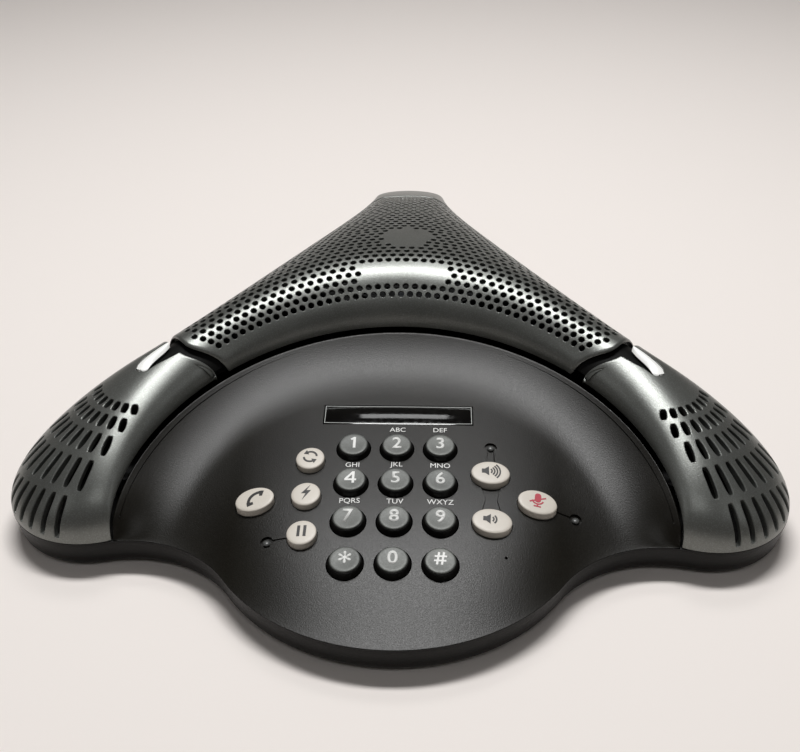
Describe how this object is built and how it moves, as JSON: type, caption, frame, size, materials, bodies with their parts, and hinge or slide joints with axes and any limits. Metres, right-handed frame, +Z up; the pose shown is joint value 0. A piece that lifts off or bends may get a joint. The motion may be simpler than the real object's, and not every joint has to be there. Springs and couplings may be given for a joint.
{
  "type": "conference phone",
  "caption": "Three-armed table conference phone with a perforated speaker dome, slotted microphone arms and a sloping keypad",
  "frame": {"origin": "on the table, under the middle of the outline", "axes": "+Y runs from the keypad to the rear arm, +X to the right of a user at the keypad, +Z up"},
  "size_m": [0.267, 0.312, 0.0638],
  "materials": {
    "cover_charcoal": "satin metallic charcoal",
    "case_black": "satin black with a fine grain",
    "black_rubber": "matt",
    "grey_rubber": "matt",
    "trim_black": "matt",
    "card_black": "plain print",
    "clear_window": "clear, glossy",
    "guide_white": "milky white",
    "frame_steel": "dark paint",
    "magnet_grey": "bare ferrite",
    "cone_paper": "matt",
    "roll_rubber": "matt",
    "capsule_metal": "satin",
    "board_green": "solder mask",
    "jack_black": "matt",
    "screw_steel": "zinc plated",
    "key_slate": "slate grey with a pearl sheen",
    "key_cream": "satin cream"
  },
  "bodies": {
    "case": {"base_pan": "case_black", "rubber_feet": "black_rubber", "speaker_grille": "cover_charcoal", "left_arm_cover": "cover_charcoal", "right_arm_cover": "cover_charcoal", "rear_arm_cover": "cover_charcoal", "console": "case_black", "label_card": "card_black", "label_window": "clear_window", "left_light_guide": "guide_white", "right_light_guide": "guide_white", "left_seam_strip": "trim_black", "right_seam_strip": "trim_black", "rear_seam_strip": "trim_black", "speaker_deck": "case_black", "speaker_basket": "frame_steel", "speaker_magnet": "magnet_grey", "speaker_cone": "cone_paper", "speaker_surround": "roll_rubber", "speaker_dust_cap": "cone_paper", "left_mic_boot": "black_rubber", "right_mic_boot": "black_rubber", "rear_mic_boot": "black_rubber", "left_mic_capsule": "capsule_metal", "right_mic_capsule": "capsule_metal", "rear_mic_capsule": "capsule_metal", "keypad_membrane": "grey_rubber", "keypad_board": "board_green", "board_stand": "case_black", "main_board": "board_green", "line_jack": "jack_black", "deck_screws": "screw_steel", "board_screws": "screw_steel", "speaker_screws": "screw_steel"},
    "key_1_cap": {"key_1": "key_slate"},
    "key_2_cap": {"key_2": "key_slate"},
    "key_3_cap": {"key_3": "key_slate"},
    "key_4_cap": {"key_4": "key_slate"},
    "key_5_cap": {"key_5": "key_slate"},
    "key_6_cap": {"key_6": "key_slate"},
    "key_7_cap": {"key_7": "key_slate"},
    "key_8_cap": {"key_8": "key_slate"},
    "key_9_cap": {"key_9": "key_slate"},
    "key_star_cap": {"key_star": "key_slate"},
    "key_0_cap": {"key_0": "key_slate"},
    "key_hash_cap": {"key_hash": "key_slate"},
    "key_redial_cap": {"key_redial": "key_cream"},
    "key_flash_cap": {"key_flash": "key_cream"},
    "key_hold_cap": {"key_hold": "key_cream"},
    "key_hook_cap": {"key_hook": "key_cream"},
    "key_volume_up_cap": {"key_volume_up": "key_cream"},
    "key_volume_down_cap": {"key_volume_down": "key_cream"},
    "key_mute_cap": {"key_mute": "key_cream"}
  },
  "joints": [
    {"name": "key_1_press", "type": "slide", "parent": "case", "child": "key_1_cap", "axis": [0, 0.1736, -0.9848], "range_m": [0, 0.0012], "stiffness_N_per_m": 300, "springref_m": -0.0005},
    {"name": "key_2_press", "type": "slide", "parent": "case", "child": "key_2_cap", "axis": [0, 0.1736, -0.9848], "range_m": [0, 0.0012], "stiffness_N_per_m": 300, "springref_m": -0.0005},
    {"name": "key_3_press", "type": "slide", "parent": "case", "child": "key_3_cap", "axis": [0, 0.1736, -0.9848], "range_m": [0, 0.0012], "stiffness_N_per_m": 300, "springref_m": -0.0005},
    {"name": "key_4_press", "type": "slide", "parent": "case", "child": "key_4_cap", "axis": [0, 0.1736, -0.9848], "range_m": [0, 0.0012], "stiffness_N_per_m": 300, "springref_m": -0.0005},
    {"name": "key_5_press", "type": "slide", "parent": "case", "child": "key_5_cap", "axis": [0, 0.1736, -0.9848], "range_m": [0, 0.0012], "stiffness_N_per_m": 300, "springref_m": -0.0005},
    {"name": "key_6_press", "type": "slide", "parent": "case", "child": "key_6_cap", "axis": [0, 0.1736, -0.9848], "range_m": [0, 0.0012], "stiffness_N_per_m": 300, "springref_m": -0.0005},
    {"name": "key_7_press", "type": "slide", "parent": "case", "child": "key_7_cap", "axis": [0, 0.1736, -0.9848], "range_m": [0, 0.0012], "stiffness_N_per_m": 300, "springref_m": -0.0005},
    {"name": "key_8_press", "type": "slide", "parent": "case", "child": "key_8_cap", "axis": [0, 0.1736, -0.9848], "range_m": [0, 0.0012], "stiffness_N_per_m": 300, "springref_m": -0.0005},
    {"name": "key_9_press", "type": "slide", "parent": "case", "child": "key_9_cap", "axis": [0, 0.1736, -0.9848], "range_m": [0, 0.0012], "stiffness_N_per_m": 300, "springref_m": -0.0005},
    {"name": "key_star_press", "type": "slide", "parent": "case", "child": "key_star_cap", "axis": [0, 0.1736, -0.9848], "range_m": [0, 0.0012], "stiffness_N_per_m": 300, "springref_m": -0.0005},
    {"name": "key_0_press", "type": "slide", "parent": "case", "child": "key_0_cap", "axis": [0, 0.1736, -0.9848], "range_m": [0, 0.0012], "stiffness_N_per_m": 300, "springref_m": -0.0005},
    {"name": "key_hash_press", "type": "slide", "parent": "case", "child": "key_hash_cap", "axis": [0, 0.1736, -0.9848], "range_m": [0, 0.0012], "stiffness_N_per_m": 300, "springref_m": -0.0005},
    {"name": "key_redial_press", "type": "slide", "parent": "case", "child": "key_redial_cap", "axis": [0, 0.1736, -0.9848], "range_m": [0, 0.0012], "stiffness_N_per_m": 300, "springref_m": -0.0005},
    {"name": "key_flash_press", "type": "slide", "parent": "case", "child": "key_flash_cap", "axis": [0, 0.1736, -0.9848], "range_m": [0, 0.0012], "stiffness_N_per_m": 300, "springref_m": -0.0005},
    {"name": "key_hold_press", "type": "slide", "parent": "case", "child": "key_hold_cap", "axis": [0, 0.1736, -0.9848], "range_m": [0, 0.0012], "stiffness_N_per_m": 300, "springref_m": -0.0005},
    {"name": "key_hook_press", "type": "slide", "parent": "case", "child": "key_hook_cap", "axis": [0, 0.1736, -0.9848], "range_m": [0, 0.0012], "stiffness_N_per_m": 300, "springref_m": -0.0005},
    {"name": "key_volume_up_press", "type": "slide", "parent": "case", "child": "key_volume_up_cap", "axis": [0, 0.1736, -0.9848], "range_m": [0, 0.0012], "stiffness_N_per_m": 300, "springref_m": -0.0005},
    {"name": "key_volume_down_press", "type": "slide", "parent": "case", "child": "key_volume_down_cap", "axis": [0, 0.1736, -0.9848], "range_m": [0, 0.0012], "stiffness_N_per_m": 300, "springref_m": -0.0005},
    {"name": "key_mute_press", "type": "slide", "parent": "case", "child": "key_mute_cap", "axis": [0, 0.1736, -0.9848], "range_m": [0, 0.0012], "stiffness_N_per_m": 300, "springref_m": -0.0005}
  ]
}
